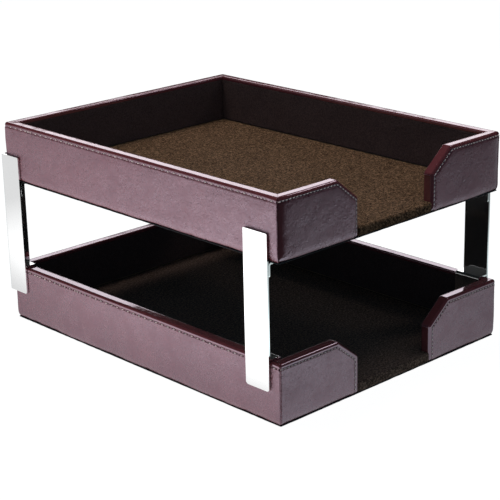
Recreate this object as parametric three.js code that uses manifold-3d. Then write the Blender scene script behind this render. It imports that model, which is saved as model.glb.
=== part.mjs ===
// A two-tier letter tray. Two leather-covered trays with a cut-out front stand one above the
// other on four polished metal posts. Each post hooks over the lower tray's rim and carries the
// upper tray on a small shelf. Every tray is built up in layers: a base board, five wall boards,
// leather panels outside and over the rim, a suede lining inside and felt underneath.
//
// Millimetres. X runs across, Y from the front opening to the back, Z up. The origin is the
// middle of the lower tray's underside.

import * as THREE from 'three';
import { mergeVertices } from 'three/addons/utils/BufferGeometryUtils.js';
import Module from 'manifold-3d';

const wasm = await Module();
wasm.setup();

// Tray, outside
const trayWidth = 260;
const trayDepth = 340;
const trayHeight = 51.4;
const tierGap = 79; // free height between the lower rim and the upper tray's underside

// Front opening between the two wings
const openingWidth = 86;
const slantRun = 23; // the slant at the top of each wing, measured across
const slantDrop = 18.5; // and measured down

// Layers
const leatherThickness = 1.2;
const boardThickness = 6.5;
const baseThickness = 6.8;
const liningThickness = 1.2;
const feltThickness = 1;
const glueLine = 0.1; // between any two layers

// Leather and lining work
const cornerRadius = 3; // upright outside corners
const rimRadius = 2.2; // long edges, rounded over the board
const slantRadius = 3; // the two bends of the wing's outline
const noseRadius = 2.4; // the lining's roll over the base's front edge
const turnIn = 3.2; // how far the leather comes down inside the rim
const hemWidth = 14; // how far leather and lining are turned under the base
const mitreSeam = 0.12; // between two leather panels at a corner
const feltInset = 0.8;

// Posts
const sheet = 1.6;
const postWidth = 25.4;
const postHeight = 126.2;
const postFoot = 27; // from the lower tray's underside
const postGap = 0.4; // between the metal and a tray's upright faces
const seatGap = 0.3; // under a hook and over a shelf
const frontPostInset = 10; // from the tray's front face to a front post
const rearPostOverhang = 5.5; // a rear post's corner stands this far behind the tray
const rearFlangeWidth = 22;
const shelfLegHeight = 12.5;
const weldGap = 0.1;
const bendRadius = 2.4; // outside of a bend
const footRadius = 2.5; // lower corners of the sheet-metal pieces
const headRadius = 0.8; // upper corners

const arcSteps = 5; // facets in each rounded corner or edge
const over = 5; // how far a cutting solid runs past what it cuts

const halfWidth = trayWidth / 2;
const halfDepth = trayDepth / 2;
const halfOpening = openingWidth / 2;
const upperTrayLevel = trayHeight + tierGap;

// Layers of a wall, measured in from the tray's outer faces
const boardOuter = leatherThickness + glueLine;
const boardInner = boardOuter + boardThickness;
const liningOuter = boardInner + glueLine;
const wallThickness = liningOuter + liningThickness;
const hemInner = wallThickness + hemWidth;

// Levels, measured up from a tray's underside
const hemBottom = feltThickness + glueLine;
const hemTop = hemBottom + leatherThickness;
const baseTop = hemBottom + baseThickness;
const wallFoot = baseTop + glueLine;
const floorTop = wallFoot + liningThickness;
const liningFoot = floorTop + glueLine;
const liningTop = trayHeight - turnIn - glueLine;

const leather = new THREE.MeshStandardMaterial({ color: '#4a2328', roughness: 0.42, metalness: 0 });
const suede = new THREE.MeshStandardMaterial({ color: '#3a2519', roughness: 0.95, metalness: 0 });
const felt = new THREE.MeshStandardMaterial({ color: '#151314', roughness: 1, metalness: 0 });
const board = new THREE.MeshStandardMaterial({ color: '#b08a5f', roughness: 0.85, metalness: 0 });
const steel = new THREE.MeshStandardMaterial({ color: '#e4e6e6', roughness: 0.1, metalness: 1 });

const sides = [
  { side: -1, sideName: 'left' },
  { side: 1, sideName: 'right' },
];

// Outlines

function outlineOf(pairs) {
  return pairs.map(([u, v]) => new THREE.Vector2(u, v));
}

function rectangle(u1, v1, u2, v2) {
  return outlineOf([[u1, v1], [u2, v1], [u2, v2], [u1, v2]]);
}

// Pieces that come in pairs are drawn for the right-hand side, and turned over for the left.
function turnedTo(side, outline) {
  return outline.map((point) => new THREE.Vector2(side * point.x, point.y));
}

// Puts an arc at each corner that has a radius. Radii is one number, or one for each corner.
function roundCorners(corners, radii) {
  return corners.flatMap((corner, i) => {
    const radius = Array.isArray(radii) ? radii[i] : radii;
    if (radius <= 0) return [corner];
    const toLast = corners.at(i - 1).clone().sub(corner).normalize();
    const toNext = corners[(i + 1) % corners.length].clone().sub(corner).normalize();
    const halfAngle = toLast.angleTo(toNext) / 2;
    const middle = toLast.clone().add(toNext).normalize();
    const centre = corner.clone().addScaledVector(middle, radius / Math.sin(halfAngle));
    const start = corner.clone().addScaledVector(toLast, radius / Math.tan(halfAngle));
    const turn = -Math.sign(toLast.cross(toNext)) * (Math.PI - 2 * halfAngle);
    return Array.from({ length: arcSteps + 1 }, (_, step) =>
      start.clone().rotateAround(centre, (turn * step) / arcSteps));
  });
}

// Solids

// For each drawing plane: where its two directions and the push direction point
const planes = {
  xy: [new THREE.Vector3(1, 0, 0), new THREE.Vector3(0, 1, 0), new THREE.Vector3(0, 0, 1)],
  xz: [new THREE.Vector3(1, 0, 0), new THREE.Vector3(0, 0, 1), new THREE.Vector3(0, -1, 0)],
  yz: [new THREE.Vector3(0, 1, 0), new THREE.Vector3(0, 0, 1), new THREE.Vector3(1, 0, 0)],
};

// Pushes an outline from one coordinate to another, square to its plane. An edge radius rounds
// the outline's edges on both faces.
function slab(outline, plane, from, to, edgeRadius = 0) {
  const [first, second, push] = planes[plane];
  const start = plane === 'xz' ? -Math.max(from, to) : Math.min(from, to);
  const geometry = new THREE.ExtrudeGeometry(new THREE.Shape(outline), {
    depth: Math.abs(to - from) - 2 * edgeRadius,
    bevelEnabled: edgeRadius > 0,
    bevelThickness: edgeRadius,
    bevelSize: edgeRadius,
    bevelOffset: -edgeRadius,
    bevelSegments: arcSteps,
  });
  geometry.translate(0, 0, start + edgeRadius);
  geometry.applyMatrix4(new THREE.Matrix4().makeBasis(first, second, push));
  geometry.deleteAttribute('normal');
  geometry.deleteAttribute('uv');
  const merged = mergeVertices(geometry);
  return new wasm.Manifold(new wasm.Mesh({
    numProp: 3,
    vertProperties: merged.attributes.position.array,
    triVerts: Uint32Array.from(merged.index.array),
  }));
}

function unite(solids) {
  return solids.reduce((whole, solid) => whole.add(solid));
}

function toMesh(name, solid, material) {
  const { vertProperties, triVerts } = solid.getMesh();
  const geometry = new THREE.BufferGeometry();
  geometry.setAttribute('position', new THREE.BufferAttribute(vertProperties, 3));
  geometry.setIndex(new THREE.BufferAttribute(triVerts, 1));
  geometry.computeVertexNormals();
  const finish = material.clone();
  finish.flatShading = true;
  const mesh = new THREE.Mesh(geometry, finish);
  mesh.name = name;
  return mesh;
}

// Tray blocks. Each is drawn at an inset from the tray's outside, so that one drawing gives the
// leather's outer face, the hollow that it is wrapped round and the board inside.

function insetPlan(inset) {
  const [x, y] = [halfWidth - inset, halfDepth - inset];
  return rectangle(-x, -y, x, y);
}

function footprint(inset, bottom, top) {
  return slab(roundCorners(insetPlan(inset), cornerRadius - inset), 'xy', bottom, top);
}

function sideBlock(side, inset, innerFace, foot) {
  const outline = rectangle(-halfDepth, foot, halfDepth, trayHeight - inset);
  const [from, to] = [side * (halfWidth - inset), side * (halfWidth - innerFace)];
  return slab(outline, 'yz', from, to, rimRadius - inset);
}

function rearBlock(inset, innerFace, foot) {
  const outline = rectangle(-halfWidth, foot, halfWidth, trayHeight - inset);
  return slab(outline, 'xz', halfDepth - inset, halfDepth - innerFace, rimRadius - inset);
}

// A wing from the front: square towards the tray's corner, slanted towards the opening. The
// inset moves its top, slant and opening edge.
function wingOutline(side, inset, foot, outerEnd) {
  const fromUpright = Math.atan2(slantRun, slantDrop);
  const fromLevel = Math.PI / 2 - fromUpright;
  const edge = halfOpening + inset;
  const slantFoot = trayHeight - slantDrop - inset * Math.tan(fromUpright / 2);
  const slantHead = halfOpening + slantRun + inset * Math.tan(fromLevel / 2);
  const corners = outlineOf([
    [outerEnd, foot],
    [edge, foot],
    [edge, slantFoot],
    [slantHead, trayHeight - inset],
    [outerEnd, trayHeight - inset],
  ]);
  const radius = slantRadius - inset;
  return turnedTo(side, roundCorners(corners, [0, 0, radius, radius, 0]));
}

function wingBlock(side, inset, innerFace, foot) {
  const outline = wingOutline(side, inset, foot, halfWidth);
  return slab(outline, 'xz', inset - halfDepth, innerFace - halfDepth, rimRadius - inset);
}

// What the leather is wrapped round, as one solid: walls and base, and the floor's lining
function wrappedCore() {
  const inset = leatherThickness;
  const foot = hemTop + rimRadius;
  return unite([
    ...sides.map(({ side }) => sideBlock(side, inset, liningOuter, foot)),
    ...sides.map(({ side }) => wingBlock(side, inset, liningOuter, foot)),
    rearBlock(inset, liningOuter, foot),
    slab(insetPlan(0), 'xy', 0, wallFoot),
  ])
    .intersect(footprint(inset, hemTop, trayHeight))
    .add(slab(insetPlan(boardInner), 'xy', baseTop, liningFoot));
}

// Leather. A panel covers a wall's outside, its rim and a narrow band inside, and is turned
// under the base. It ends in a mitre at each corner of the tray.

function mitredPlan(across, along, place) {
  const seam = mitreSeam / Math.SQRT2;
  const ends = [[-over, -1], [hemInner, -1], [hemInner, 1], [-over, 1]];
  return ends.map(([inset, end]) => place(across - inset, end * (along - inset - seam)));
}

function sidePlan(side) {
  return mitredPlan(halfWidth, halfDepth, (x, y) => new THREE.Vector2(side * x, y));
}

function endPlan(end) {
  return mitredPlan(halfDepth, halfWidth, (y, x) => new THREE.Vector2(x, end * y));
}

function hem(u1, v1, u2, v2) {
  return slab(rectangle(u1, v1, u2, v2), 'xy', hemBottom, hemTop);
}

function leatherPanel(wrap, plan, core, window) {
  return wrap
    .intersect(slab(plan, 'xy', 0, trayHeight))
    .intersect(footprint(0, 0, trayHeight))
    .subtract(core)
    .subtract(window);
}

function sideLeather(side, core) {
  const turnedUnder = hem(
    side * (halfWidth - rimRadius), -halfDepth, side * (halfWidth - hemInner), halfDepth);
  const y = halfDepth - boardInner;
  const window = slab(rectangle(-y, baseTop, y, trayHeight - turnIn), 'yz',
    side * (halfWidth - boardInner), side * (halfWidth - wallThickness - over));
  const wrap = sideBlock(side, 0, wallThickness, hemBottom).add(turnedUnder);
  return leatherPanel(wrap, sidePlan(side), core, window);
}

function rearLeather(core) {
  const turnedUnder = hem(-halfWidth, halfDepth - rimRadius, halfWidth, halfDepth - hemInner);
  const x = halfWidth - boardInner;
  const window = slab(rectangle(-x, baseTop, x, trayHeight - turnIn), 'xz',
    halfDepth - boardInner, halfDepth - wallThickness - over);
  const wrap = rearBlock(0, wallThickness, hemBottom).add(turnedUnder);
  return leatherPanel(wrap, endPlan(1), core, window);
}

function wingLeather(side, core) {
  const turnedUnder = hem(
    side * halfWidth, rimRadius - halfDepth, side * halfOpening, hemInner - halfDepth);
  const window = slab(wingOutline(side, turnIn, baseTop, halfWidth), 'xz',
    boardInner - halfDepth, wallThickness + over - halfDepth);
  const wrap = wingBlock(side, 0, wallThickness, hemBottom).add(turnedUnder);
  return leatherPanel(wrap, endPlan(-1), core, window);
}

// Boards. The side boards run the tray's whole depth, and the others fit between them.

function baseBoard() {
  const y = halfDepth - boardOuter;
  const nose = roundCorners(
    rectangle(-y, 0, halfDepth, baseTop), [0, 0, 0, noseRadius - boardOuter]);
  return footprint(boardOuter, hemTop + glueLine, baseTop)
    .add(slab(insetPlan(hemInner + glueLine), 'xy', hemBottom, baseTop))
    .intersect(slab(nose, 'yz', -halfWidth, halfWidth));
}

function standingBoard(block) {
  return block.intersect(footprint(boardOuter, wallFoot, trayHeight));
}

function betweenSides(block) {
  const x = halfWidth - liningOuter;
  return block.intersect(slab(rectangle(-x, -halfDepth, x, halfDepth), 'xy', 0, trayHeight));
}

function sideBoard(side) {
  return standingBoard(sideBlock(side, boardOuter, boardInner, 0));
}

function rearBoard() {
  return betweenSides(standingBoard(rearBlock(boardOuter, boardInner, 0)));
}

function wingBoard(side) {
  return betweenSides(standingBoard(wingBlock(side, boardOuter, boardInner, 0)));
}

// Lining

function sideLining(side) {
  const y = halfDepth - liningOuter;
  return slab(rectangle(-y, liningFoot, y, liningTop), 'yz',
    side * (halfWidth - liningOuter), side * (halfWidth - wallThickness));
}

function rearLining() {
  const x = halfWidth - wallThickness - glueLine;
  return slab(rectangle(-x, liningFoot, x, liningTop), 'xz',
    halfDepth - liningOuter, halfDepth - wallThickness);
}

function wingLining(side) {
  const outline = wingOutline(
    side, turnIn + glueLine, liningFoot, halfWidth - wallThickness - glueLine);
  return slab(outline, 'xz', liningOuter - halfDepth, wallThickness - halfDepth);
}

// The floor's lining runs out between the wings, rolls over the front edge and is turned under.
function floorLining() {
  const tongue = halfOpening - glueLine;
  const outside = roundCorners(
    rectangle(-halfDepth, hemBottom, hemInner - halfDepth, floorTop),
    [rimRadius, 0, 0, noseRadius]);
  const hollow = roundCorners(
    rectangle(liningThickness - halfDepth, hemTop, hemInner + over - halfDepth, wallFoot),
    [0, 0, 0, noseRadius - liningThickness]);
  const roll = slab(outside, 'yz', -tongue, tongue)
    .subtract(slab(hollow, 'yz', -halfWidth, halfWidth));
  return slab(insetPlan(liningOuter), 'xy', wallFoot, floorTop).add(roll);
}

function trayPieces() {
  const core = wrappedCore();
  const pairs = sides.flatMap(({ side, sideName }) => [
    [`${sideName}_wall_board`, sideBoard(side), board],
    [`${sideName}_wing_board`, wingBoard(side), board],
    [`${sideName}_wall_leather`, sideLeather(side, core), leather],
    [`${sideName}_wing_leather`, wingLeather(side, core), leather],
    [`${sideName}_wall_lining`, sideLining(side), suede],
    [`${sideName}_wing_lining`, wingLining(side), suede],
  ]);
  return [
    ['underside_felt', footprint(feltInset, 0, feltThickness), felt],
    ['base_board', baseBoard(), board],
    ['rear_wall_board', rearBoard(), board],
    ['rear_wall_leather', rearLeather(core), leather],
    ['rear_wall_lining', rearLining(), suede],
    ['floor_lining', floorLining(), suede],
    ...pairs,
  ];
}

// Posts, in bent sheet metal. Distances across are from the tray's middle.

const metalInner = halfWidth + postGap;
const metalOuter = metalInner + sheet;
const weldFace = metalInner - weldGap;
const hookLegOuter = halfWidth - wallThickness - postGap;
const hookLegInner = hookLegOuter - sheet;
const hookBottom = trayHeight + seatGap;
const hookTop = hookBottom + sheet;
const shelfTop = upperTrayLevel - seatGap;
const shelfBottom = shelfTop - sheet;
const shelfFoot = shelfTop - shelfLegHeight;
const postHead = postFoot + postHeight;
const frontPostStart = frontPostInset - halfDepth;
const frontPostEnd = frontPostStart + postWidth;
const rearPostCorner = halfDepth + rearPostOverhang;
const rearPostStart = rearPostCorner - postWidth;
const rearPostEnd = rearPostCorner - bendRadius; // hook and shelf stop at the angle's bend
const rearHookLegEnd = halfDepth - wallThickness - postGap;

const bendRadii = [0, bendRadius, 0, 0, bendRadius - sheet, 0];

function frontStrip(side) {
  const outline = roundCorners(
    rectangle(frontPostStart, postFoot, frontPostEnd, postHead),
    [footRadius, footRadius, headRadius, headRadius]);
  return slab(outline, 'yz', side * metalInner, side * metalOuter);
}

// The rear posts are angles: one flange beside the tray and one behind it.
function rearAngle(side) {
  const flangeEdge = metalOuter - rearFlangeWidth;
  const section = roundCorners(outlineOf([
    [metalOuter, rearPostStart],
    [metalOuter, rearPostCorner],
    [flangeEdge, rearPostCorner],
    [flangeEdge, rearPostCorner - sheet],
    [metalInner, rearPostCorner - sheet],
    [metalInner, rearPostStart],
  ]), bendRadii);
  const freeEdgeRadii = [footRadius, 0, 0, headRadius];
  const fromSide = rectangle(rearPostStart, postFoot, rearPostCorner + over, postHead);
  const fromRear = rectangle(flangeEdge, postFoot, metalOuter + over, postHead);
  return slab(turnedTo(side, section), 'xy', postFoot, postHead)
    .intersect(slab(roundCorners(fromSide, freeEdgeRadii), 'yz', 0, side * (metalOuter + over)))
    .intersect(slab(turnedTo(side, roundCorners(fromRear, freeEdgeRadii)), 'xz',
      0, rearPostCorner + over));
}

// A bent strip, from its section across the post and its width along the tray
function bracket(side, section, foot, from, to) {
  const face = roundCorners(rectangle(from, foot, to, postHead), [footRadius, footRadius, 0, 0]);
  return slab(turnedTo(side, roundCorners(section, bendRadii)), 'xz', from, to)
    .intersect(slab(face, 'yz', 0, side * metalOuter));
}

function hook(side, from, to) {
  const section = outlineOf([
    [weldFace, hookTop],
    [hookLegInner, hookTop],
    [hookLegInner, postFoot],
    [hookLegOuter, postFoot],
    [hookLegOuter, hookBottom],
    [weldFace, hookBottom],
  ]);
  return bracket(side, section, postFoot, from, to);
}

// At the back the hook's leg is narrow, to come down inside the tray's corner, and its top
// reaches on over the rear rim.
function rearHook(side) {
  const top = turnedTo(side, rectangle(hookLegInner, hookBottom, weldFace, hookTop));
  return hook(side, rearPostStart, rearHookLegEnd)
    .add(slab(top, 'xz', rearHookLegEnd, rearPostEnd));
}

function shelf(side, from, to) {
  const section = outlineOf([
    [weldFace, shelfFoot],
    [weldFace, shelfTop],
    [hookLegInner, shelfTop],
    [hookLegInner, shelfBottom],
    [weldFace - sheet, shelfBottom],
    [weldFace - sheet, shelfFoot],
  ]);
  return bracket(side, section, shelfFoot, from, to);
}

function postPieces() {
  return sides.flatMap(({ side, sideName }) => [
    [`front_${sideName}_post_strip`, frontStrip(side)],
    [`front_${sideName}_post_hook`, hook(side, frontPostStart, frontPostEnd)],
    [`front_${sideName}_post_shelf`, shelf(side, frontPostStart, frontPostEnd)],
    [`rear_${sideName}_post_angle`, rearAngle(side)],
    [`rear_${sideName}_post_hook`, rearHook(side)],
    [`rear_${sideName}_post_shelf`, shelf(side, rearPostStart, rearPostEnd)],
  ]);
}

function letterTray() {
  const pieces = trayPieces();
  const whole = new THREE.Group();
  for (const [tier, level] of [['lower', 0], ['upper', upperTrayLevel]]) {
    const tray = new THREE.Group();
    tray.position.z = level;
    for (const [name, solid, material] of pieces) {
      tray.add(toMesh(`${tier}_${name}`, solid, material));
    }
    whole.add(tray);
  }
  for (const [name, solid] of postPieces()) {
    whole.add(toMesh(name, solid, steel));
  }
  return whole;
}

export default letterTray();
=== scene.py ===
"""A two-tier letter tray: stitched leather over board, suede inside, on polished metal posts.

The leather, linings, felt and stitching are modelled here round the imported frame. The posts and
boards are the frame's own nodes with procedural materials. Lengths are in millimetres until a
mesh is made, and then in metres.
"""

import math

import bpy
import numpy as np
from mathutils import Matrix, Vector
from mathutils.geometry import delaunay_2d_cdt


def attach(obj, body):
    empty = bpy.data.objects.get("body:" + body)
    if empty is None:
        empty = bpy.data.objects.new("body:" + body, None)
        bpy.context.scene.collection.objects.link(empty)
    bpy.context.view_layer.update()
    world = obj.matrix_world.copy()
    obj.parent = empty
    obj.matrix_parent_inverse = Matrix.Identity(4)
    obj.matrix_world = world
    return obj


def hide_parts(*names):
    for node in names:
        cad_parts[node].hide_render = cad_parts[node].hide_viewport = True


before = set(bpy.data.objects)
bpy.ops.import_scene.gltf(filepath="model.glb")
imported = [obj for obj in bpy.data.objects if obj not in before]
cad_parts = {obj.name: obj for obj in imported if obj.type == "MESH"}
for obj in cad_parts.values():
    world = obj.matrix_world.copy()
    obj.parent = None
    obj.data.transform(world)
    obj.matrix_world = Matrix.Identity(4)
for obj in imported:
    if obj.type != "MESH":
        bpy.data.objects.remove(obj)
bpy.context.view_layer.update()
scene = bpy.context.scene

MM = 0.001

# Tray sizes, as in the frame
HALF_WIDTH = 130
HALF_DEPTH = 170
HEIGHT = 51.4
LEVELS = {"lower": 0.0, "upper": 130.4}
HALF_OPENING = 43
SLANT_RUN = 23
SLANT_DROP = 18.5
SLANT_RADIUS = 3
LEAST_BEND = 1.0
WALL = 9.1
TURN_IN = 3.2
INNER_RADIUS = 1.2
CORNER_RADIUS = 2
RIM_RADIUS = 2.2
WALL_FOOT = 8.0
FLOOR_TOP = 9.2
LINING = 1.2
LINING_OUTER = 7.9
LINING_FOOT = 9.3
LINING_TOP = 48.1
NOSE_RADIUS = 2.4
GLUE_LINE = 0.1
# The bottom edge's long rounding, the leather's length round it, and the hem under the base
FOOT_ROLL = 6.0
FOOT_LENGTH = 6.79
HEM_BOTTOM = 1.1
HEM_INNER = 23.1
ROUNDING_TOP = HEM_BOTTOM + FOOT_ROLL

# Leather
SKIN = 1.1
LEAST_SKIN = 0.15
SEAM = 0.06
# How far down the rim's outer roll, the stitches and the furrow lie on each tray
ROLL = {"lower": 2.4, "upper": 3.7}
STITCH_LINE = {"lower": 4.0, "upper": 3.1}
FURROW_LINE = {"lower": 4.0, "upper": 3.7}
FURROW_DEPTH = {"lower": 0.16, "upper": 0.28}
FURROW_WIDTH = 0.6
# The low ridge below the furrow, and the pits where the thread goes in
RIDGE_HEIGHT = 0.08
RIDGE_OFFSET = 1.7
RIDGE_WIDTH = 0.9
PIT_DEPTH = {"lower": 0.8, "upper": 0.6}
PIT_WIDTH = 0.55
# Unevenness of a face, which is weaker near the rim
SOFT_HEIGHT = 0.20
FINE_HEIGHT = 0.07
RIM_EVENNESS = 0.2
# How far the wings' faces swell out, and fall away towards the tray's upright corners
CORNER_SWELL = {"lower": 0.1, "upper": 0.95}
CORNER_FALL = {"lower": 0.0, "upper": 0.7}
CORNER_FALL_WIDTH = 7.0
# How far the upper walls' faces fall in towards the stitches, and how that fades at both ends
SHOULDER_FALL = {"lower": 0.0, "upper": 0.38}
SHOULDER_LINE = 3
SHOULDER_WIDTH = 4.2
SHOULDER_END = 3
SHOULDER_FADE = 12.0
# Burnish of the rim and of the wings' upright corners. On the upper wings' corners its darker
# colour is painted shade.
POLISH_LINE = 2.6
POLISH_FADE = 1.6
CORNER_POLISH_AND_SHADE = {"lower": 0.0, "upper": 1.0}
CORNER_POLISH_AND_SHADE_WIDTH = 5.5

# Stitches
STITCH_PITCH = 3.6
STITCH_LENGTH = 2.2
STITCH_END = 3.4
STITCH_CREST = 0.12
STITCH_DIVE = 0.62
STITCH_LEAN = 0.06
STITCH_LEAN_SPREAD = 0.05
THREAD_RADIUS = 0.46
THREAD_TAPER = 0.35

# How finely the leather is divided
COLUMN = 0.72
END_BLOCK = 14
NEAR_END = 3.2
FOOT_STEPS = 9
HEM_STEPS = (4, 8, 13, 18, HEM_INNER)
FACE_SPACING = 2.4
# Edge distances of points behind the rim, and of points well inside a wing's face
BEHIND_RIM = -5.0
FAR_IN = 30.0
CLOSE = 0.01


# Meshes


def new_object(name, data):
    obj = bpy.data.objects.new(name, data)
    scene.collection.objects.link(obj)
    return obj


def make_object(name, points, faces, material, body):
    """A smooth mesh object from points in millimetres, riding on a body."""
    mesh = bpy.data.meshes.new(name)
    mesh.from_pydata((np.asarray(points) * MM).tolist(), [], faces)
    mesh.materials.append(material)
    mesh.polygons.foreach_set("use_smooth", [True] * len(mesh.polygons))
    mesh.update()
    obj = new_object(name, mesh)
    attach(obj, body)
    return obj


def set_attribute(obj, name, values):
    attribute = obj.data.attributes.new(name, "FLOAT", "POINT")
    attribute.data.foreach_set("value", np.asarray(values, np.float32))


def closed_skin(outer, inner, faces):
    """Points and faces of a closed body: an outer sheet, an inner sheet behind it and its edges."""
    count = len(outer)
    sides = dict.fromkeys((a, b) for face in faces for a, b in zip(face, face[1:] + face[:1]))
    back = [[i + count for i in reversed(face)] for face in faces]
    rim = [[b, a, a + count, b + count] for a, b in sides if (b, a) not in sides]
    return np.concatenate([outer, inner]), faces + back + rim


def closed_object(name, outer, inner, faces, material, body, node):
    """A closed body from two sheets, in the place of one of the frame's nodes."""
    points, faces = closed_skin(outer, inner, faces)
    obj = make_object(name, points, faces, material, body)
    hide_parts(node)
    return obj


def drop_unused(points, faces, *values):
    """Leaves out the points that no face uses."""
    kept = sorted({i for face in faces for i in face})
    place = {old: new for new, old in enumerate(kept)}
    faces = [[place[i] for i in face] for face in faces]
    return [points[kept], faces] + [value[kept] for value in values]


def grid_faces(rows, columns, keep=lambda r, c: True):
    firsts = [r * columns + c for r in range(rows - 1) for c in range(columns - 1) if keep(r, c)]
    return [[i, i + 1, i + columns + 1, i + columns] for i in firsts]


def ring_faces(rings, count):
    """Quads between closed rings, each of the same count of points."""
    sides = [(ring * count + k, ring * count + (k + 1) % count)
             for ring in range(rings - 1) for k in range(count)]
    return [[a, b, b + count, a + count] for a, b in sides]


def triangle_normal(points, face):
    a, b, c = (np.array(points[i]) for i in face[:3])
    return np.cross(b - a, c - a)


def looks_out(outer, inner, face):
    """How far a face looks away from the inner sheet."""
    way = outer[face].mean(axis=0) - inner[face].mean(axis=0)
    return np.dot(triangle_normal(outer, face), way)


def outward(outer, inner, faces):
    """Faces all turned together, so that most of them look away from the inner sheet."""
    sample = faces[:: max(1, len(faces) // 200)]
    sides = sum(np.sign(looks_out(outer, inner, face)) for face in sample)
    return faces if sides > 0 else [face[::-1] for face in faces]


def facing_out(outer, inner, faces):
    """Faces each turned so that it looks away from the inner sheet."""
    return [face if looks_out(outer, inner, face) >= 0 else face[::-1] for face in faces]


def divided(corners, spacing, whole):
    """A closed outline with even points between its corners, by a way to make numbers whole."""
    outline = []
    for a, b in zip(corners, corners[1:] + corners[:1]):
        count = max(1, whole(np.linalg.norm(b - a) / spacing))
        outline += [a + (b - a) * k / count for k in range(count)]
    return np.array(outline)


def within(polygon, x, y):
    xs, ys = polygon[:, 0], polygon[:, 1]
    nx, ny = np.roll(xs, -1), np.roll(ys, -1)
    crosses = (ys > y) != (ny > y)
    with np.errstate(divide="ignore", invalid="ignore"):
        at = xs + (y - ys) * (nx - xs) / (ny - ys)
    return np.count_nonzero(crosses & (x < at)) % 2 == 1


def clearance(polygon, x, y):
    return np.hypot(polygon[:, 0] - x, polygon[:, 1] - y).min()


def grid_within(polygon, xs, ys, gap):
    """Points of a grid inside a polygon, further than the gap from its points."""
    return [(x, y) for x in xs for y in ys
            if within(polygon, x, y) and clearance(polygon, x, y) > gap]


def fill(polygon, numbers, inside, add):
    """Triangles over a polygon whose points are numbered, with added points inside it."""
    count = len(polygon)
    found, _, triangles, origins, _, _ = delaunay_2d_cdt(
        [Vector(p) for p in polygon] + [Vector(p) for p in inside],
        [(i, (i + 1) % count) for i in range(count)], [], 1, 1e-5)
    index = [numbers[min(source)] if source and min(source) < count else add(*place)
             for place, source in zip(found, origins)]
    return [[index[i] for i in triangle] for triangle in triangles]


# Smooth shapes across a surface

wave_random = np.random.default_rng(11)


def wave_set(count, shortest, longest):
    directions = wave_random.normal(size=(count, 3))
    directions /= np.linalg.norm(directions, axis=1)[:, None]
    lengths = wave_random.uniform(shortest, longest, count)
    return directions * (2 * math.pi / lengths)[:, None], wave_random.uniform(0, 2 * math.pi, count)


def waves(points, wave):
    """Smooth unevenness, as a sum of waves."""
    vectors, phases = wave
    return np.sin(points @ vectors.T + phases).sum(axis=1) / math.sqrt(len(phases))


SOFT_WAVES = wave_set(14, 34, 90)
FINE_WAVES = wave_set(16, 9, 22)
NAP_WAVES = wave_set(12, 18, 60)


def hump(offset, width):
    """1 at no offset, falling smoothly to 0 on both sides."""
    return np.exp(-((offset / width) ** 2))


def rising(value, start, width):
    """0 up to the start, then rising to 1 over the width."""
    return np.clip((value - start) / width, 0, 1)


# Leather profile. A row is (e, d, ne, nd): e is how far it lies in from the panel's edge, d how
# far in from its outer face, and ne and nd its normal in those directions.


def arc(steps, first=False):
    angles = np.linspace(0, math.pi / 2, steps + 1)
    return angles if first else angles[1:]


def oval_normal(ne, nd):
    size = math.hypot(ne, nd)
    return ne / size, nd / size


def rim_rows(roll):
    """From the turned-in edge inside the wall, over the rim and down the face's top."""
    q, r = INNER_RADIUS, RIM_RADIUS
    rows = [(e, WALL, 0.0, 1.0) for e in (TURN_IN, TURN_IN - 0.25, 2.2)]
    for t in arc(6, first=True):
        rows.append((q - q * math.sin(t), WALL - q + q * math.cos(t), -math.sin(t), math.cos(t)))
    rows += [(0.0, d, -1.0, 0.0) for d in (6.8, 5.5, 4.2, 3.0)]
    for t in arc(14, first=True):
        rows.append((roll - roll * math.cos(t), r - r * math.sin(t),
                     *oval_normal(-math.cos(t) / roll, -math.sin(t) / r)))
    return rows + [(e, 0.0, 0.0, -1.0) for e in (*np.arange(roll + 0.2, 5.8, 0.2), 6.2, 6.9)]


def foot_turn(t):
    """(height, inset, ne, nd) on the bottom edge's long rounding, t from 0 at its top."""
    r = RIM_RADIUS
    return (ROUNDING_TOP - FOOT_ROLL * math.sin(t), r - r * math.cos(t),
            *oval_normal(math.sin(t) / FOOT_ROLL, -math.cos(t) / r))


def foot_rows():
    """From the face's top down to the hem's inner edge under the base."""
    foot = HEIGHT - HEM_BOTTOM
    rows = [(e, 0.0, 0.0, -1.0) for e in np.linspace(8, foot - FOOT_ROLL, 16)]
    for t in arc(FOOT_STEPS):
        height, inset, ne, nd = foot_turn(t)
        rows.append((HEIGHT - height, inset, ne, nd))
    return rows + [(foot, d, 1.0, 0.0) for d in HEM_STEPS]


def face_edge(e, nd):
    """A row's distance from the panel's edge, for the details of its outer face."""
    return e if nd < 0 else BEHIND_RIM


def path_end(length, inset):
    """Where a row ends at the tray's corner, along its own path round the upright edge."""
    if inset < CORNER_RADIUS:
        return length - CORNER_RADIUS + (CORNER_RADIUS - inset) * math.pi / 4 - SEAM
    return length - inset - SEAM


def corner_point(length, along, inset):
    """Plan position along and in from a wall, and how far it has turned round the corner."""
    turn_start = length - CORNER_RADIUS
    if inset >= CORNER_RADIUS or abs(along) <= turn_start:
        return along, inset, 0.0
    radius = CORNER_RADIUS - inset
    turn = (abs(along) - turn_start) / radius
    side = math.copysign(1, along)
    turned_along = side * (turn_start + radius * math.sin(turn))
    return turned_along, CORNER_RADIUS - radius * math.cos(turn), side * turn


def end_steps():
    """Distances from a panel's end, close together round the upright edge."""
    return np.concatenate([np.linspace(0, NEAR_END, 10), np.linspace(NEAR_END, END_BLOCK, 11)[1:]])


def wall_alongs(length, inset):
    end = path_end(length, inset)
    steps = end_steps()
    count = int(2 * (length - END_BLOCK) / COLUMN)
    middle = np.linspace(-(end - END_BLOCK), end - END_BLOCK, count)
    return np.concatenate([-(end - steps), middle[1:-1], (end - steps)[::-1]])


# What stands out from the leather's plain surface, or sinks into it


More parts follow.
